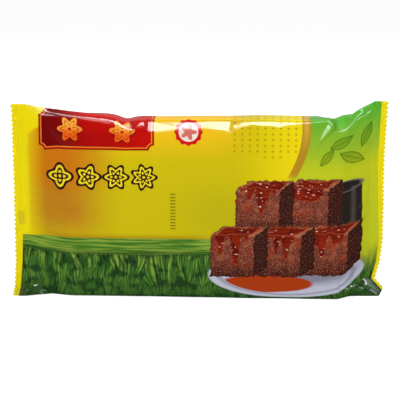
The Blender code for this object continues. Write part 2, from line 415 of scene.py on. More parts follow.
def places_along():
    """Insets from the nearer cut edge and sides of the grid's places, from left to right."""
    crimp = np.linspace(0.0, CRIMP_WIDTH, RIB_STEPS)
    half = PACK_LENGTH / 2
    body = np.linspace(-half + CRIMP_WIDTH, half - CRIMP_WIDTH, BODY_STEPS)[1:-1]
    return np.concatenate([-half + crimp, body, half - crimp[::-1]])


def film_places(x, distance):
    """Places of the film for x along the pack and distances round it: the block, melted into a leaf.

    The relief is added along the normal, which is the cross product of the grid's two directions."""
    inset = pinked(PACK_LENGTH / 2 - np.abs(x), distance)
    x = np.sign(x) * (PACK_LENGTH / 2 - inset)
    block_y, block_z = block(x, distance)
    place = np.zeros((*inset.shape, 3))
    for end, here in ((LEFT_END, x[:, 0] < 0), (RIGHT_END, x[:, 0] >= 0)):
        leaf_x, leaf_y, leaf_z = leaf(inset[here], distance[here], end)
        share = leaf_share(inset[here], block_z[here] / PANEL_HEIGHT, end)
        place[here, :, 0] = x[here] + leaf_x * share
        place[here, :, 1] = block_y[here] * (1 - share) + leaf_y * share
        place[here, :, 2] = block_z[here] * (1 - share) + leaf_z * share
    along = np.gradient(place, axis=0)
    around = (np.roll(place, -1, axis=1) - np.roll(place, 1, axis=1)) / 2
    normal = np.cross(along, around)
    normal /= np.maximum(np.linalg.norm(normal, axis=2, keepdims=True), 1e-12)
    place += normal * relief(x, distance, inset)[..., None]
    rise = np.clip((place[..., 2] / PANEL_HEIGHT - DENT_FROM) / (1 - DENT_FROM), 0.0, 1.0)
    behind = np.clip(place[..., 1] / PACK_DEPTH + 0.5, 0.0, 1.0)
    for middle, width, depth, lacking in DENTS:
        share = 1 - lacking * (1 - behind)
        place[..., 2] -= depth * np.exp(-(((x - middle) / width) ** 2)) * rise**2 * share
    place[..., 2] = np.maximum(place[..., 2], 0.0)
    return place


def ring_faces(count, around):
    """Four-cornered faces between a count of closed rings, each of as many points as lie around it."""
    near = np.arange(around)
    far = (near + 1) % around
    row = np.arange(count - 1)[:, None] * around
    faces = np.stack([row + near, row + near + around, row + far + around, row + far], axis=-1)
    return faces.reshape(-1, 4)


def wrapped_skin(name, place, x, distance):
    """Mesh of a grid that closes round the tube and along both cut edges, with the film's own map.

    The map holds x along the pack and the distance round it, both in metres."""
    count, around = place.shape[:2]
    rim = np.arange(around // 2)
    left = np.stack([rim, rim + 1, (around - rim - 1) % around, (around - rim) % around], axis=-1)
    right = left[:, ::-1] + (count - 1) * around
    corners = [ring_faces(count, around), left, right]
    faces = [list(dict.fromkeys(face)) for face in np.concatenate(corners).tolist()]
    mesh = bpy.data.meshes.new(name)
    mesh.from_pydata(place.reshape(-1, 3), [], faces)
    loops = np.empty(len(mesh.loops), dtype=np.int32)
    mesh.loops.foreach_get("vertex_index", loops)
    along = x.reshape(-1)[loops]
    turn = np.broadcast_to(distance, place.shape[:2]).reshape(-1)[loops]
    starts = np.empty(len(mesh.polygons), dtype=np.int32)
    mesh.polygons.foreach_get("loop_start", starts)
    sizes = np.diff(np.append(starts, len(loops)))
    furthest = np.repeat(np.maximum.reduceat(turn, starts), sizes)
    on_seam = (turn == 0.0) & (furthest > HALF_GIRTH)
    turn = np.where(on_seam, GIRTH, turn)
    uv = mesh.uv_layers.new(name="film")
    uv.data.foreach_set("uv", np.stack([along, turn], axis=1).ravel())
    mesh.shade_smooth()
    mesh.set_sharp_from_angle(angle=SHARP_EDGE)
    return mesh


def stood(place):
    """The places moved so that the middle of their box is over the origin and their base is at zero."""
    low, high = place.reshape(-1, 3).min(axis=0), place.reshape(-1, 3).max(axis=0)
    return place - np.array([(low[0] + high[0]) / 2, (low[1] + high[1]) / 2, low[2]])


def placed(name, data):
    """A new object that holds the data, linked into the scene."""
    made = bpy.data.objects.new(name, data)
    bpy.context.scene.collection.objects.link(made)
    return made


x_grid = places_along()[:, None]
round_grid = np.linspace(0.0, GIRTH, ROUND_STEPS, endpoint=False)[None, :]
x_grid, round_grid = np.broadcast_arrays(x_grid, round_grid)
film_place = stood(film_places(x_grid, round_grid))
film = placed("printed_film_pack", wrapped_skin("film", film_place, x_grid, round_grid))
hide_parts("pack")
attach(film, "root")


# The print, part one: its yellow field
# The film is printed all over in ink under a clear gloss: a warm yellow that turns orange to the left,
# with plain yellow margins beside the cut edges. The print is laid out in millimetres on the film.


class Wire:
    """A number or colour on its way through a material's nodes.

    Python's operators on it add the Math nodes that they stand for."""

    def __init__(self, socket):
        self.socket = socket

    def node(self, kind, settings, sockets, output=0):
        """Adds a node of a kind: its settings first, then its sockets' values or links."""
        tree = self.socket.id_data
        made = tree.nodes.new(kind)
        for name, value in settings.items():
            setattr(made, name, value)
        for name, value in sockets.items():
            if isinstance(value, Wire):
                tree.links.new(value.socket, made.inputs[name])
            else:
                made.inputs[name].default_value = value
        return Wire(made.outputs[output])

    def math(self, operation, first, second=0.0):
        """One Math node on a first and a second number."""
        return self.node("ShaderNodeMath", {"operation": operation}, {0: first, 1: second})

    def __add__(self, other):
        return self.math("ADD", self, other)

    __radd__ = __add__

    def __sub__(self, other):
        return self.math("SUBTRACT", self, other)

    def __rsub__(self, other):
        return self.math("SUBTRACT", other, self)

    def __mul__(self, other):
        return self.math("MULTIPLY", self, other)

    __rmul__ = __mul__

    def __truediv__(self, other):
        return self.math("DIVIDE", self, other)

    def __neg__(self):
        return self.math("MULTIPLY", self, -1.0)

    def __abs__(self):
        return self.math("ABSOLUTE", self)

    def __or__(self, other):
        """The larger of the two: the area that lies in either mask."""
        return self.math("MAXIMUM", self, other)

    def __and__(self, other):
        """The smaller of the two: the area that lies in both masks."""
        return self.math("MINIMUM", self, other)

    def rises(self, low, high):
        """A smooth step from 0 at low to 1 at high; it falls where high is the smaller."""
        ends = {"Value": self, "From Min": low, "From Max": high}
        return self.node("ShaderNodeMapRange", {"interpolation_type": "SMOOTHSTEP"}, ends)

    def mixed(self, other, mask):
        """This number, or another where the mask is 1."""
        return self.node("ShaderNodeMix", {"data_type": "FLOAT"}, {0: mask, 2: self, 3: other})

    def under(self, over, mask):
        """This colour with another printed over it where the mask is 1."""
        return self.node("ShaderNodeMix", {"data_type": "RGBA"}, {0: mask, 6: self, 7: over}, 2)

    def times(self, tint, mask=1.0):
        """This colour multiplied by a tint where the mask is 1."""
        settings = {"data_type": "RGBA", "blend_type": "MULTIPLY"}
        return self.node("ShaderNodeMix", settings, {0: mask, 6: self, 7: tint}, 2)

    def nearest(self):
        """The nearest whole number."""
        return self.math("ROUND", self)

    def part(self, axis):
        """One of this point's three coordinates, counted from 0."""
        return self.node("ShaderNodeSeparateXYZ", {}, {0: self}, axis)


def length_of(across, up):
    """Distance from the middle of a pair of coordinates: the root of the sum of their squares."""
    pair = across.node("ShaderNodeCombineXYZ", {}, {"X": across, "Y": up})
    return pair.node("ShaderNodeVectorMath", {"operation": "LENGTH"}, {0: pair}, 1)


def ink(red, green, blue):
    """A colour given as a screen shows it, from 0 to 255, as the light that it sends back."""
    shares = [value / 255 for value in (red, green, blue)]
    linear = [s / 12.92 if s <= 0.04045 else ((s + 0.055) / 1.055) ** 2.4 for s in shares]
    return (*linear, 1.0)


EDGE_BLUR = 0.25


def inside(distance, blur=EDGE_BLUR):
    """Mask of a printed shape: 1 where the distance from its outline is below zero."""
    return distance.rises(blur / 2, -blur / 2)


def grain(across, up, size, stretch=1.0, detail=2.0, warp=0.0, seed=0.0):
    """Noise from 0 to 1 with spots of a size in millimetres, longer upwards by stretch."""
    spot = {"X": across / size, "Y": up / (size * stretch), "Z": seed}
    point = across.node("ShaderNodeCombineXYZ", {}, spot)
    sockets = {"Vector": point, "Scale": 1.0, "Detail": detail, "Distortion": warp}
    return across.node("ShaderNodeTexNoise", {"noise_dimensions": "3D"}, sockets)


# The front's print ends this many millimetres round the film from the middle of its base.
FRONT_END = 149.5
MM = 1000.0
MAIN_YELLOW = ink(202, 185, 2)
WARM_YELLOW = ink(242, 190, 20)
BRIGHT_YELLOW = ink(236, 212, 3)
OLIVE_YELLOW = ink(184, 174, 12)
OLIVE_SPOT = (14.0, 58.0, 34.0, 26.0)
ORANGE_BROWN = ink(184, 116, 24)
ORANGE_DEEP = ink(206, 104, 2)
MARGIN_YELLOW = ink(234, 214, 2)

printed_film = bpy.data.materials.new("printed_film")
printed_film.use_nodes = True
gloss = printed_film.node_tree.nodes["Principled BSDF"]
film_map = printed_film.node_tree.nodes.new("ShaderNodeUVMap")
film_map.uv_map = "film"
map_point = Wire(film_map.outputs[0])
along = map_point.part(0) * MM
round_film = map_point.part(1) * MM
height = round_film - PANEL_START * MM
low_height = (round_film & GIRTH * MM - round_film) - PANEL_START * MM
on_front = round_film.rises(FRONT_END, FRONT_END - 1)

left_warmth = along.rises(-44, -88) * height.rises(28, 62)
top_warmth = height.rises(88, 116) * along.rises(44, 4)
olive_x = (along - OLIVE_SPOT[0]) / OLIVE_SPOT[2]
olive_z = (height - OLIVE_SPOT[1]) / OLIVE_SPOT[3]
olive_spot = length_of(olive_x, olive_z).rises(1.2, 0.0)
orange_cloud = grain(along, height, 30, detail=1.0)
field = along.under(BRIGHT_YELLOW, 1.0).under(MAIN_YELLOW, along.rises(70, 20) * on_front)
field = field.under(OLIVE_YELLOW, olive_spot * 0.8)
field = field.under(WARM_YELLOW, top_warmth * on_front)
field = field.under(ORANGE_BROWN, (left_warmth * (0.55 + orange_cloud * 0.7)) * on_front & 1.0)
field = field.under(ORANGE_DEEP, left_warmth * height.rises(66, 84) * on_front * 0.6)
field = field.under(BRIGHT_YELLOW, along.rises(-96, -112) * 0.7)
bright_edge = along + height.rises(106, 119) * -13.0
field = field.under(MARGIN_YELLOW, bright_edge.rises(-107.2, -110.2) * on_front)


# The print, part two: the corner at the upper right
# A green field with a gold ribbon along its curved edge, and a few leaves drawn in thin dark lines.

RIBBON_TOP = (68.8, 114.0)
RIBBON_CURVE = 0.0091
RIBBON_HALF = 2.7
RIBBON_GOLD = ink(178, 134, 30)
RIBBON_LIGHT = ink(212, 172, 62)
DEEP_GREEN = ink(84, 172, 46)
LEAF_GREEN = ink(146, 182, 40)
LIME_GREEN = ink(188, 196, 28)
LINE_GREEN = ink(62, 104, 22)
LEAF_SHADE = ink(214, 222, 190)
LEAF_LINE = 0.35
LEAF_BULGE = 0.36

# Leaves: middle along and up, turn in radians, and half the length.
LEAVES = (
    (91.0, 105.5, 0.5, 8.0),
    (98.0, 95.0, -0.5, 9.0),
    (106.5, 107.0, 1.2, 7.5),
    (82.0, 96.0, 0.9, 6.5),
)


def leaf_shape(across, up, middle_x, middle_z, turn, half):
    """Distance from a leaf's outline, and from its middle line: two arcs that meet in two points."""
    x, z = across - middle_x, up - middle_z
    lengthwise = x * math.cos(turn) + z * math.sin(turn)
    crosswise = z * math.cos(turn) - x * math.sin(turn)
    bulge = (1.0 - lengthwise * lengthwise / half**2) * (LEAF_BULGE * half)
    return abs(crosswise) - bulge, abs(crosswise) | (abs(lengthwise) - half)


below_top = RIBBON_TOP[1] - (height & RIBBON_TOP[1])
ribbon_x = RIBBON_TOP[0] - below_top * below_top * RIBBON_CURVE
past_ribbon = along - ribbon_x
corner = inside(-past_ribbon) * on_front
greens = along.under(LIME_GREEN, 1.0).under(LEAF_GREEN, height.rises(84, 104))
greens = greens.under(DEEP_GREEN, height.rises(100, 126))
greens = greens.under(LIME_GREEN, height.rises(60, 20) * 0.6)
for leaf_values in LEAVES:
    outline, vein = leaf_shape(along, height, *leaf_values)
    leaf_lines = inside(abs(outline) - LEAF_LINE) | inside(vein - LEAF_LINE * 0.7)
    greens = greens.times(LEAF_SHADE, inside(outline))
    greens = greens.under(LINE_GREEN, leaf_lines * 0.75)
field = field.under(greens, corner)
ribbon_shine = abs(past_ribbon).rises(RIBBON_HALF, 0.4)
ribbon = along.under(RIBBON_GOLD, 1.0).under(RIBBON_LIGHT, ribbon_shine * height.rises(96, 118) * 0.8)
field = field.under(ribbon, inside(abs(past_ribbon) - RIBBON_HALF) * height.rises(80, 86) * on_front)


# The print, part three: the grass along the foot
# A smooth green bank, and below it a dense stand of grass blades, with painted shade that darkens it
# towards the base.

BANK_TOP = 41.5
GRASS_TOP = 30.0
BANK_GREEN = ink(62, 116, 32)
BANK_LIGHT = ink(136, 164, 58)
HORIZON_BROWN = ink(158, 104, 24)
BLADE_DARK = ink(24, 52, 24)
BLADE_MID = ink(60, 108, 38)
BLADE_LIGHT = ink(138, 168, 62)
BLADES_IN_RADIAN = 26
BLADE_LENGTH = 26.0

# Two stands of blades: pitch of the roots, shift along, height of the roots, and seed.
TUFTS = ((23.0, 0.0, -16.0, 11.0), (17.0, 9.0, -7.0, 17.0))


def fan(across, up, pitch, shift, root, seed):
    """Noise drawn out into blades that fan out of roots a pitch apart: its first coordinate is the angle
    of the line to the nearest root, and its second the distance from it."""
    nearest_root = ((across - shift) / pitch).nearest()
    aside = across - shift - nearest_root * pitch
    turn = aside.math("ARCTAN2", aside, up - root)
    reach = length_of(aside, up - root)
    return grain(turn * BLADES_IN_RADIAN, reach, 1.0, stretch=BLADE_LENGTH, seed=nearest_root * 7.0 + seed)


bend = (grain(along, low_height, 22, seed=3.0) - 0.5) * 26
bank_streak = grain(along * 0.05, low_height + bend * 0.06, 1.5, detail=2.0, seed=5.0)
bank = along.under(BANK_GREEN, 1.0).under(BANK_LIGHT, bank_streak.rises(0.40, 0.62))
bank = bank.under(BLADE_DARK, low_height.rises(35, 30) * 0.7)
clumps = grain(along, low_height, 7.0, detail=2.0, seed=19.0)
waver = (grain(along, low_height, 15.0, detail=0.0, seed=8.0) - 0.5) * 6
grass = along.under(BLADE_MID, 1.0).under(BLADE_DARK, clumps.rises(0.55, 0.38) * 0.8)
for pitch, shift, root, seed in TUFTS:
    blades = fan(along + waver, low_height, pitch, shift, root, seed)
    # Painted light: the pale blades show only higher up and fade out towards the base.
    painted_light_share = low_height.rises(-4, 24) * 0.85
    grass = grass.under(BLADE_DARK, blades.rises(0.48, 0.36) * 0.75)
    grass = grass.under(BLADE_LIGHT, blades.rises(0.54, 0.68) * clumps.rises(0.30, 0.55) * painted_light_share)
# Painted shade: the grass is darkened towards the base, where the film turns under the pack.
grass = grass.under(BLADE_DARK, low_height.rises(12, -6) * 0.55)
ragged_top = GRASS_TOP + (grain(along, along * 0.0, 1.4, detail=1.0, seed=2.0) - 0.5) * 8
bank = bank.under(grass, (low_height - ragged_top).rises(0.8, -0.8))
above_bank = low_height - BANK_TOP + along.rises(-94, -113) * 2.6
foot = inside(above_bank)
lime_patch = along.rises(92, 101) * low_height.rises(12, 34) * on_front
haze = above_bank.rises(4.0, 0.0) * along.rises(-104, -84) * along.rises(24, -8) * on_front
field = field.under(HORIZON_BROWN, haze * 0.6)
field = field.under(bank, foot * (1.0 - lime_patch))


# The print, part four: the cakes on their dish
# A plain picture of what is inside: brown cubes of rice cake with a sugar crust, piled on a pale dish
# and glazed with dark syrup, in front of a dark pot.

# Ovals and boxes: middle along and up, half width and half height.
DISH = (58.0, 17.5, 51.0, 15.5)
DISH_SHADOW = (62.0, 21.0, 44.0, 11.0)
POOL = (44.0, 11.5, 30.0, 6.0)
POT = (92.5, 60.0, 12.5, 17.0)
POT_MOUTH = (92.5, 77.0, 12.5, 3.5)
POT_CORNER = 4.0
DISH_PALE = ink(188, 190, 206)
DISH_SHADE = ink(120, 118, 134)
POOL_AMBER = ink(168, 58, 14)
POT_DARK = ink(40, 34, 32)
POT_RIM = ink(112, 100, 92)
CRUST_TOP = ink(164, 94, 62)
CRUST_FRONT = ink(114, 52, 40)
CRUST_SIDE = ink(58, 26, 20)
CRUST_DEEP = ink(50, 16, 12)
CRUMB_PALE = ink(206, 146, 112)
SYRUP = ink(86, 10, 6)
SYRUP_EDGE = ink(160, 44, 12)
SYRUP_GLINT = ink(255, 226, 206)

# Cubes: half width and height of the front, what the side adds to both, and middles from the back one.
CAKE_HALF = (14.0, 14.0)
CAKE_DEPTH = (9.0, 6.5)
CAKE_SLOPE = CAKE_DEPTH[1] / CAKE_DEPTH[0]
CAKES = ((69.5, 61.5), (38.5, 60.5), (82.5, 31.5), (52.5, 30.5), (22.5, 30.0))
GLAZE_MARGIN = 2.6
DRIP_LENGTH = (1.0, 18.0)


def oval(across, up, middle_x, middle_z, half_x, half_z):
    """Distance, near enough, from an upright oval: its radius less one, times its smaller half."""
    return (length_of((across - middle_x) / half_x, (up - middle_z) / half_z) - 1.0) * min(half_x, half_z)


def slab(across, up, half_x, half_z):
    """Distance from a rectangle: the larger of the distances past its sides."""
    return (abs(across) - half_x) | (abs(up) - half_z)


def cube_outline(p, q):
    """Distance from a cube's outline in slanting view: a box with two corners cut by slanting lines."""
    half_x, half_z = CAKE_HALF[0] + CAKE_DEPTH[0] / 2, CAKE_HALF[1] + CAKE_DEPTH[1] / 2
    box = slab(p - CAKE_DEPTH[0] / 2, q - CAKE_DEPTH[1] / 2, half_x, half_z)
    return box | (abs(q - p * CAKE_SLOPE) - CAKE_HALF[1] - CAKE_HALF[0] * CAKE_SLOPE)


def glazed(p, q, drip):
    """Distance from the syrup on a cube: a pool on its top, and drips down its front that end before
    its sides, because their length falls with the fourth power of the place across."""
    slant = (q - CAKE_HALF[1]) * (CAKE_DEPTH[0] / CAKE_DEPTH[1])
    pool_x, pool_z = CAKE_HALF[0] - GLAZE_MARGIN, CAKE_DEPTH[1] / 2 - 0.7
    on_top = slab(p - slant, q - CAKE_HALF[1] - CAKE_DEPTH[1] / 2, pool_x, pool_z)
    across = p * p / pool_x**2
    down = CAKE_HALF[1] - drip * (1 - across * across) - q
    return on_top & (down | (q - CAKE_HALF[1] - 1.5) | (abs(p) - pool_x))


dish = oval(along, height, *DISH)
field = field.under(DISH_PALE, inside(dish, 0.6))
field = field.under(DISH_SHADE, inside(abs(dish + 2.2) - 0.5, 0.8) * 0.6)
field = field.under(DISH_SHADE, oval(along, height, *DISH_SHADOW).rises(2.0, -4.0) * 0.9)
pool = oval(along + (orange_cloud - 0.5) * 10, height, *POOL)
field = field.under(POOL_AMBER, inside(pool, 0.8) & inside(dish + 2.8))
pot_half_x, pot_half_z = POT[2] - POT_CORNER, POT[3] - POT_CORNER
pot = slab(along - POT[0], height - POT[1], pot_half_x, pot_half_z) - POT_CORNER
pot_mouth = oval(along, height, *POT_MOUTH)
field = field.under(POT_DARK, inside(pot & pot_mouth, 0.5))
field = field.under(POT_RIM, inside(abs(pot_mouth) - 0.4, 0.5) * 0.7)
field = field.under(POT_RIM, inside(pot + 1.0) * abs(along - POT[0] - 7.0).rises(2.6, 0.0) * 0.35)
crumb_x = along + (grain(along, height, 3.0, detail=3.0, seed=21.0) - 0.5) * 4.0
crumb_z = height + (grain(along, height, 3.0, detail=3.0, seed=27.0) - 0.5) * 4.0
flow_x = along + (grain(along, height, 7.0, detail=1.0, seed=43.0) - 0.5) * 6.0
flow_z = height + (grain(along, height, 7.0, detail=1.0, seed=47.0) - 0.5) * 5.0
crumbs = grain(along, height, 0.8, detail=3.0, seed=31.0)
lumps = grain(along, height, 4.5, detail=2.0, seed=35.0)
soaked = grain(along, height, 9.0, detail=2.0, seed=39.0)
glints = grain(along, height * 2.6, 3.0, detail=1.0, seed=37.0)
drip_noise = grain(along, along * 0.0, 5.5, detail=0.0, seed=41.0)
drip_length = drip_noise.rises(0.34, 0.72) * DRIP_LENGTH[1] + DRIP_LENGTH[0]
cake_p, cake_q, pile = crumb_x * 0.0, crumb_z * 0.0, along * 0.0
flow_p, flow_q = along * 0.0, height * 0.0
for cake_x, cake_z in CAKES:
    p, q = crumb_x - cake_x, crumb_z - cake_z
    outline = cube_outline(p, q)
    chosen = inside(outline, 0.05)
    cake_p, cake_q = cake_p.mixed(p, chosen), cake_q.mixed(q, chosen)
    flow_p, flow_q = flow_p.mixed(flow_x - cake_x, chosen), flow_q.mixed(flow_z - cake_z, chosen)
    pile = pile | inside(outline, 0.4)
past_corner = (cake_q - CAKE_HALF[1]) - (cake_p - CAKE_HALF[0]) * CAKE_SLOPE
on_top = inside((CAKE_HALF[1] - cake_q) | -past_corner, 0.5)
on_side = inside((CAKE_HALF[0] - cake_p) | past_corner, 0.5)
cakes = along.under(CRUST_FRONT, 1.0).under(CRUST_TOP, lumps.rises(0.42, 0.70) * 0.7)
cakes = cakes.under(SYRUP_EDGE, soaked.rises(0.50, 0.66) * 0.55)
cakes = cakes.under(CRUST_DEEP, cake_q.rises(2, -CAKE_HALF[1]) * 0.8)
cakes = cakes.under(CRUST_TOP, on_top).under(CRUST_SIDE, on_side)
cakes = cakes.under(CRUMB_PALE, crumbs.rises(0.55, 0.72) * (0.8 - on_side * 0.5))
cakes = cakes.under(CRUST_DEEP, crumbs.rises(0.46, 0.30) * 0.8)
front_edge = abs(cake_q - CAKE_HALF[1]) | abs(cake_p) - CAKE_HALF[0]
cakes = cakes.under(CRUMB_PALE, front_edge.rises(1.2, 0.0) * 0.35)
glaze = glazed(flow_p, flow_q, drip_length)
cakes = cakes.under(SYRUP_EDGE, glaze.rises(0.8, -0.4) * 0.8)
cakes = cakes.under(SYRUP, glaze.rises(0.0, -1.5) * 0.9)
cakes = cakes.under(SYRUP_EDGE, (soaked.rises(0.40, 0.52) & glaze.rises(-1.2, -2.6)) * 0.5)
cakes = cakes.under(SYRUP_GLINT, glints.rises(0.66, 0.72) * inside(glaze + 1.0, 0.6) * 0.9)
cakes = cakes.under(CRUST_DEEP, cube_outline(cake_p, cake_q).rises(-1.8, 0.0) * 0.6)
field = field.under(cakes, pile)


# The print, part five: the red panel and the ornaments
# A red panel with hollowed corners and thin gold borders carries two plain gold rosettes. Four yellow
# rosettes with dark outlines stand below it, and a round red and cream one beside it.

# The panel: middle along and up, half width and half height, and the radius of its hollowed corners.
# Between two places along, its top border climbs over the pack's edge, and its left end hangs lower.
PANEL = (-64.5, 113.3, 37.1, 13.5)
PANEL_HOLLOW = 3.4
PANEL_CLIMB = (-99.0, -84.0, 18.0)
PANEL_DROP = 2.8
PANEL_RED = ink(193, 8, 2)
PANEL_MAROON = ink(104, 5, 6)
PANEL_GOLD = ink(228, 138, 40)

# The panel's pair: half the space between them, their height, and radius, petals and depth of each.
PANEL_ROSETTES = (16.8, 112.5)
PANEL_ROSETTE = (6.6, 6, 0.24)
ROSETTE_ORANGE = ink(226, 96, 14)
ROSETTE_PALE = ink(246, 176, 60)
ROSETTE_DARK = ink(52, 14, 18)
ROSETTE_YELLOW = ink(226, 206, 30)

# The row of four: first place along, pitch, and petals of the first, which has the fewest. The core is
# a ring, and a line follows the outline at a distance: both have a half width.
ROSETTE_ROW = (-88.0, 17.95, 4)
ROSETTE_HEIGHT = 82.3
ROSETTE_RADIUS = 6.2
ROSETTE_DEPTH = 0.22
ROSETTE_CORE = (1.5, 0.6)
ROSETTE_LINE = (2.9, 0.8)

# The round one: middle along and up, then radius, petals and depth of its rim and of its star.
MEDALLION = (-5.6, 112.0)
MEDALLION_RIM = (8.6, 12, 0.05)
MEDALLION_DISC = 6.2
MEDALLION_STAR = (4.0, 5, 0.35)
MEDALLION_RED = ink(206, 20, 24)
MEDALLION_CREAM = ink(232, 222, 206)


def rosette(x, z, radius, petals, depth):
    """Distance from a rosette: the distance from its middle, less a radius that a cosine makes wavy."""
    wave = z.math("COSINE", z.math("ARCTAN2", z, x) * petals)
    return length_of(x, z) - radius * (1 + wave * depth)


panel_z = height - along.rises(*PANEL_CLIMB[:2]) * height.rises(120, 126) * PANEL_CLIMB[2]
panel_z = panel_z + along.rises(-86, -106) * PANEL_DROP
panel = slab(along - PANEL[0], panel_z - PANEL[1], PANEL[2], PANEL[3])
hollow = PANEL_HOLLOW - length_of(abs(along - PANEL[0]) - PANEL[2], abs(panel_z - PANEL[1]) - PANEL[3])
panel = panel | hollow
reds = along.under(PANEL_RED, 1.0).under(PANEL_MAROON, along.rises(-64, -94) * 0.9)
reds = reds.under(PANEL_MAROON, height.rises(120, 106) * along.rises(-30, -62) * 0.35)
pair_x, pair_z = abs(along - PANEL[0]) - PANEL_ROSETTES[0], height - PANEL_ROSETTES[1]
gold = rosette(pair_x, pair_z, *PANEL_ROSETTE)
gold_shadow = rosette(pair_x - 0.5, pair_z + 0.7, *PANEL_ROSETTE)
gold_tone = along.under(ROSETTE_ORANGE, 1.0).under(ROSETTE_PALE, pair_z.rises(-4, 5))
reds = reds.under(ROSETTE_DARK, inside(gold_shadow, 0.8) * 0.7)
reds = reds.under(gold_tone, inside(gold))
reds = reds.under(PANEL_RED, inside(abs(gold + 2.4) - 0.35) | inside(length_of(pair_x, pair_z) - 1.1))
field = field.under(PANEL_MAROON, inside(panel) * on_front)
for border, paint in ((0.5, PANEL_RED), (1.3, PANEL_GOLD), (1.9, reds)):
    field = field.under(paint, inside(panel + border))

row_start, row_pitch, first_petals = ROSETTE_ROW
row_count = ((along - row_start) / row_pitch).nearest()
bloom_x, bloom_z = along - row_start - row_count * row_pitch, height - ROSETTE_HEIGHT
bloom = rosette(bloom_x, bloom_z, ROSETTE_RADIUS, row_count + first_petals, ROSETTE_DEPTH)
core = abs(length_of(bloom_x, bloom_z) - ROSETTE_CORE[0]) - ROSETTE_CORE[1]
in_row = inside(abs(row_count - 1.5) - 2.0, 0.1) * on_front
bold = inside(bloom - 1.5, 0.4) * in_row
bloom_lines = inside(abs(bloom + ROSETTE_LINE[0]) - ROSETTE_LINE[1]) | inside(core)
field = field.under(ROSETTE_DARK, bold)
field = field.under(ROSETTE_YELLOW, inside(bloom + 0.3) * (1 - bloom_lines) * in_row)

medal_x, medal_z = along - MEDALLION[0], height - MEDALLION[1]
field = field.under(MEDALLION_RED, inside(rosette(medal_x, medal_z, *MEDALLION_RIM)))
field = field.under(MEDALLION_CREAM, inside(length_of(medal_x, medal_z) - MEDALLION_DISC))
field = field.under(MEDALLION_RED, inside(rosette(medal_x, medal_z, *MEDALLION_STAR)) * 0.8)


# The print, part six: dots, margins and the back
# Rows of small brown dots fill the upper right of the yellow, and a row of dark ticks stands in the
# middle. The margins beside the cut edges are plain, and the back has a plain ruled panel.

# Dots: first column and pitch of the columns, middle and half width of their area, and its lower edge,
# which steps up away from its fifth column.
DOT_COLUMNS = (23.5, 4.85)
DOT_AREA = (43.5, 22.0)
DOT_BOTTOM = 95.0
DOT_STEP = 0.8
DOT_PITCH = 3.7
DOT_RADIUS = 0.95
DOT_BROWN = ink(150, 116, 8)

# Ticks: their place along, middle and half height of the row, and half width and half height of each.
TICKS = (-15.7, 60.5, 12.5)
TICK_HALF = (1.7, 0.45)
TICK_PITCH = 2.1
TICK_DARK = ink(70, 66, 12)

# Margins: the left one's width at its foot and what each millimetre up adds, the right one's two widths.
LEFT_MARGIN = (4.6, 0.030)
RIGHT_MARGIN = (3.1, 4.6)

# The cutter's mark and the back panel: middle along and up, half width and half height.
EYE_MARK = (-114.2, 50.5, 2.5, 4.6)
EYE_MARK_PITCH = 1.3
EYE_MARK_LINE = 0.3
EYE_MARK_GREY = ink(128, 122, 60)
BACK_PANEL = (0.0, 92.0, 62.0, 19.0)
BACK_CREAM = ink(238, 226, 176)
BACK_LINE = ink(120, 84, 30)
BACK_RULE = 5.4
BACK_RULE_HALF = 0.18
BACK_FRAME_HALF = 0.25

column = (along - DOT_COLUMNS[0]) / DOT_COLUMNS[1]
dot_x = (column - column.nearest()) * DOT_COLUMNS[1]
dot_z = height - (height / DOT_PITCH).nearest() * DOT_PITCH
dots = inside(abs(dot_x) + abs(dot_z) - DOT_RADIUS, 0.5)
shortened = DOT_BOTTOM + abs(column - 5.0).nearest() * DOT_STEP
dot_area = inside(abs(along - DOT_AREA[0]) - DOT_AREA[1]) * inside(shortened - height) * on_front
field = field.under(DOT_BROWN, dots * dot_area * 0.65)

tick_z = height - (height / TICK_PITCH).nearest() * TICK_PITCH
ticks = inside(slab(along - TICKS[0], tick_z, *TICK_HALF), 0.4)
field = field.under(TICK_DARK, ticks * inside(abs(height - TICKS[1]) - TICKS[2]) * 0.75)

half_length = PACK_LENGTH * MM / 2
left_margin = inside(along + half_length - LEFT_MARGIN[0] - low_height * LEFT_MARGIN[1], 0.4)
right_width = RIGHT_MARGIN[0] + low_height.rises(28, 80) * (RIGHT_MARGIN[1] - RIGHT_MARGIN[0])
right_margin = inside(half_length - along - right_width, 0.4)
field = field.under(MARGIN_YELLOW, left_margin | right_margin)
mark_x = along - EYE_MARK[0]
mark_line = abs(mark_x - (mark_x / EYE_MARK_PITCH).nearest() * EYE_MARK_PITCH) - EYE_MARK_LINE
eye_mark = slab(mark_x, height - EYE_MARK[1], EYE_MARK[2], EYE_MARK[3]) | mark_line
field = field.under(EYE_MARK_GREY, inside(eye_mark, 0.5) * on_front * 0.55)

back_height = (GIRTH - PANEL_START) * MM - round_film
ruled = slab(along - BACK_PANEL[0], back_height - BACK_PANEL[1], BACK_PANEL[2], BACK_PANEL[3])
rule_z = back_height - (back_height / BACK_RULE).nearest() * BACK_RULE
rules = inside(abs(rule_z) - BACK_RULE_HALF) * inside(ruled + 2.0)
field = field.under(BACK_CREAM, inside(ruled))
field = field.under(BACK_LINE, (inside(abs(ruled + 1.0) - BACK_FRAME_HALF) | rules) * 0.8)

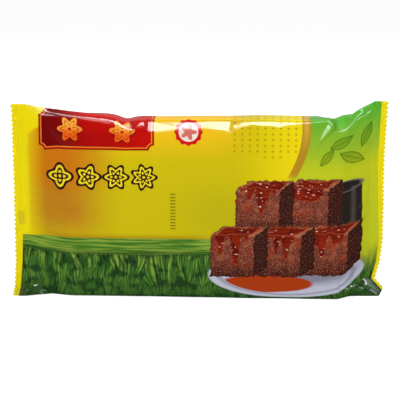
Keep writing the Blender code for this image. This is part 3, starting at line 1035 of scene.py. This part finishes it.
# The gloss over the ink. The film's fine wrinkles have a size in millimetres and a depth in metres.
INK_DEPTH = (0.68, 0.68, 0.68, 1.0)
GLOSS_ROUGHNESS = 0.11
GLOSS_IOR = 1.5
WRINKLE_SIZE = 7.0
WRINKLE_DEPTH = 0.0002
WRINKLE_STRENGTH = 0.3
printed_film.node_tree.links.new(field.times(INK_DEPTH).socket, gloss.inputs["Base Color"])
gloss.inputs["Roughness"].default_value = GLOSS_ROUGHNESS
gloss.inputs["IOR"].default_value = GLOSS_IOR
wrinkle = grain(along, round_film, WRINKLE_SIZE, detail=2.0, seed=61.0)
bump = {"Height": wrinkle, "Strength": WRINKLE_STRENGTH, "Distance": WRINKLE_DEPTH}
wrinkles = wrinkle.node("ShaderNodeBump", {}, bump)
printed_film.node_tree.links.new(wrinkles.socket, gloss.inputs["Normal"])
film.data.materials.append(printed_film)


# The table and the light
# A plain pale table and a pale wall round it, which glossy film doesn't mirror, so its colours stay deep.
# Long soft boxes stand above in front, above behind and low in front, with a dim one for the sheen and
# weak ones at the sides, two of them narrowed by grids.

CAMERA_DISTANCE = 0.8
CAMERA_ELEVATION = math.radians(16)
CAMERA_AZIMUTH = math.radians(2.5)
CAMERA_TARGET = Vector((0.0, 0.0, 0.060))
METRES_PER_PIXEL = 0.00065
IMAGE_SIDE = 400
SENSOR = 36.0
TARGET_PIXEL = (197.1, 207.2)
TABLE_GLOW = 0.85
WALL_GLOW = 0.93
STAGE_GREY = (0.35, 0.35, 0.35, 1.0)
STAGE_ROUGHNESS = 0.9
STAGE_RINGS = 60
STAGE_SPOKES = 96
STAGE_INNER = 0.02
WHITE = ink(255, 255, 255)
SKY_GREY = ink(150, 150, 152)
FLOOR_DARK = ink(60, 60, 62)
SKY_STRENGTH = 0.34


def soft_box(name, place, target, size, watts, spread=180):
    """A rectangular area light that faces its target, with a grid that narrows its light to the spread."""
    light = bpy.data.lights.new(name, "AREA")
    light.shape, light.size, light.size_y, light.energy = "RECTANGLE", size[0], size[1], watts
    light.spread = math.radians(spread)
    holder = placed(name, light)
    holder.location = place
    holder.rotation_euler = (Vector(target) - Vector(place)).to_track_quat("-Z", "Y").to_euler()
    holder.visible_camera = False
    return holder


def bowl(name, radius, height, glow):
    """A white stage surface turned round the upright axis: a quarter of an ellipse up from a flat middle.

    The height is zero inside half the radius, and rises beyond it."""
    reach = np.linspace(STAGE_INNER, 1.0, STAGE_RINGS)[:, None]
    turn = np.linspace(0.0, 2 * math.pi, STAGE_SPOKES, endpoint=False)[None, :]
    rise = np.clip(2 * reach - 1, 0.0, 1.0)
    z = height * (1 - np.sqrt(1 - rise**2)) + 0 * turn
    place = np.stack([radius * reach * np.cos(turn), radius * reach * np.sin(turn), z], axis=-1)
    faces = ring_faces(STAGE_RINGS, STAGE_SPOKES).tolist() + [list(range(STAGE_SPOKES))]
    mesh = bpy.data.meshes.new(name)
    mesh.from_pydata(place.reshape(-1, 3), [], faces)
    mesh.shade_smooth()
    finish = bpy.data.materials.new(name)
    finish.use_nodes = True
    shader = finish.node_tree.nodes["Principled BSDF"]
    shader.inputs["Base Color"].default_value = STAGE_GREY
    shader.inputs["Roughness"].default_value = STAGE_ROUGHNESS
    shader.inputs["Emission Color"].default_value = WHITE
    shader.inputs["Emission Strength"].default_value = glow
    mesh.materials.append(finish)
    stage = placed(name, mesh)
    stage.visible_glossy = False
    return stage


bowl("table_top", 6.0, 0.0, TABLE_GLOW)
wall = bowl("backdrop", 12.0, 8.0, WALL_GLOW)
wall.location.z = -0.01
wall.visible_diffuse = False
wall.visible_shadow = False

bpy.context.scene.view_settings.view_transform = "Standard"
world = bpy.data.worlds.new("studio")
bpy.context.scene.world = world
world.use_nodes = True
sky_shader = world.node_tree.nodes["Background"]
sky = Wire(world.node_tree.nodes.new("ShaderNodeTexCoord").outputs["Generated"])
sky_behind, sky_height = sky.part(1), sky.part(2)
sky_colour = sky.under(FLOOR_DARK, 1.0).under(SKY_GREY, sky_height.rises(-0.06, 0.02))
sky_colour = sky_colour.under(WHITE, sky_height.rises(0.25, 0.75) | sky_behind.rises(0.2, 0.8) * 0.7)
world.node_tree.links.new(sky_colour.socket, sky_shader.inputs["Color"])
sky_shader.inputs["Strength"].default_value = SKY_STRENGTH

soft_box("key_box", (0.05, -0.51, 0.80), (0.0, 0.0, 0.10), (0.80, 0.11), 4.7)
top_box = soft_box("top_box", (0.0, 0.42, 0.66), (0.0, 0.0, 0.12), (0.60, 0.30), 8.6)
top_box.visible_glossy = False
front_box = soft_box("front_box", (-0.10, -1.00, 0.36), (0.0, 0.0, 0.06), (0.70, 0.30), 4.0)
front_box.visible_glossy = False
sheen_box = soft_box("sheen_box", (-0.17, -0.68, 0.63), (-0.17, 0.0, 0.09), (0.28, 0.40), 1.5)
sheen_box.visible_diffuse = False
soft_box("left_box", (-0.42, -0.68, 0.26), (0.085, 0.0, 0.11), (0.10, 0.30), 0.018, 20)
soft_box("low_box", (-0.42, -0.68, 0.26), (-0.105, 0.0, 0.010), (0.10, 0.30), 0.022, 20)
soft_box("right_box", (0.50, -0.62, 0.20), (0.0, 0.0, 0.08), (0.08, 0.20), 0.55)


def photo_camera():
    """The camera at the photo's place: level, aimed at the target, which a small shift puts off centre."""
    lens = bpy.data.cameras.new("camera")
    lens.sensor_width = SENSOR
    lens.lens = CAMERA_DISTANCE / METRES_PER_PIXEL * SENSOR / IMAGE_SIDE
    lens.shift_x = (IMAGE_SIDE / 2 - TARGET_PIXEL[0]) / IMAGE_SIDE
    lens.shift_y = (TARGET_PIXEL[1] - IMAGE_SIDE / 2) / IMAGE_SIDE
    holder = placed("camera", lens)
    level = math.cos(CAMERA_ELEVATION)
    side, front = math.sin(CAMERA_AZIMUTH) * level, math.cos(CAMERA_AZIMUTH) * level
    back = Vector((side, -front, math.sin(CAMERA_ELEVATION)))
    holder.location = CAMERA_TARGET + back * CAMERA_DISTANCE
    holder.rotation_euler = (-back).to_track_quat("-Z", "Y").to_euler()
    return holder


bpy.context.scene.camera = photo_camera()

bpy.context.view_layer.update()
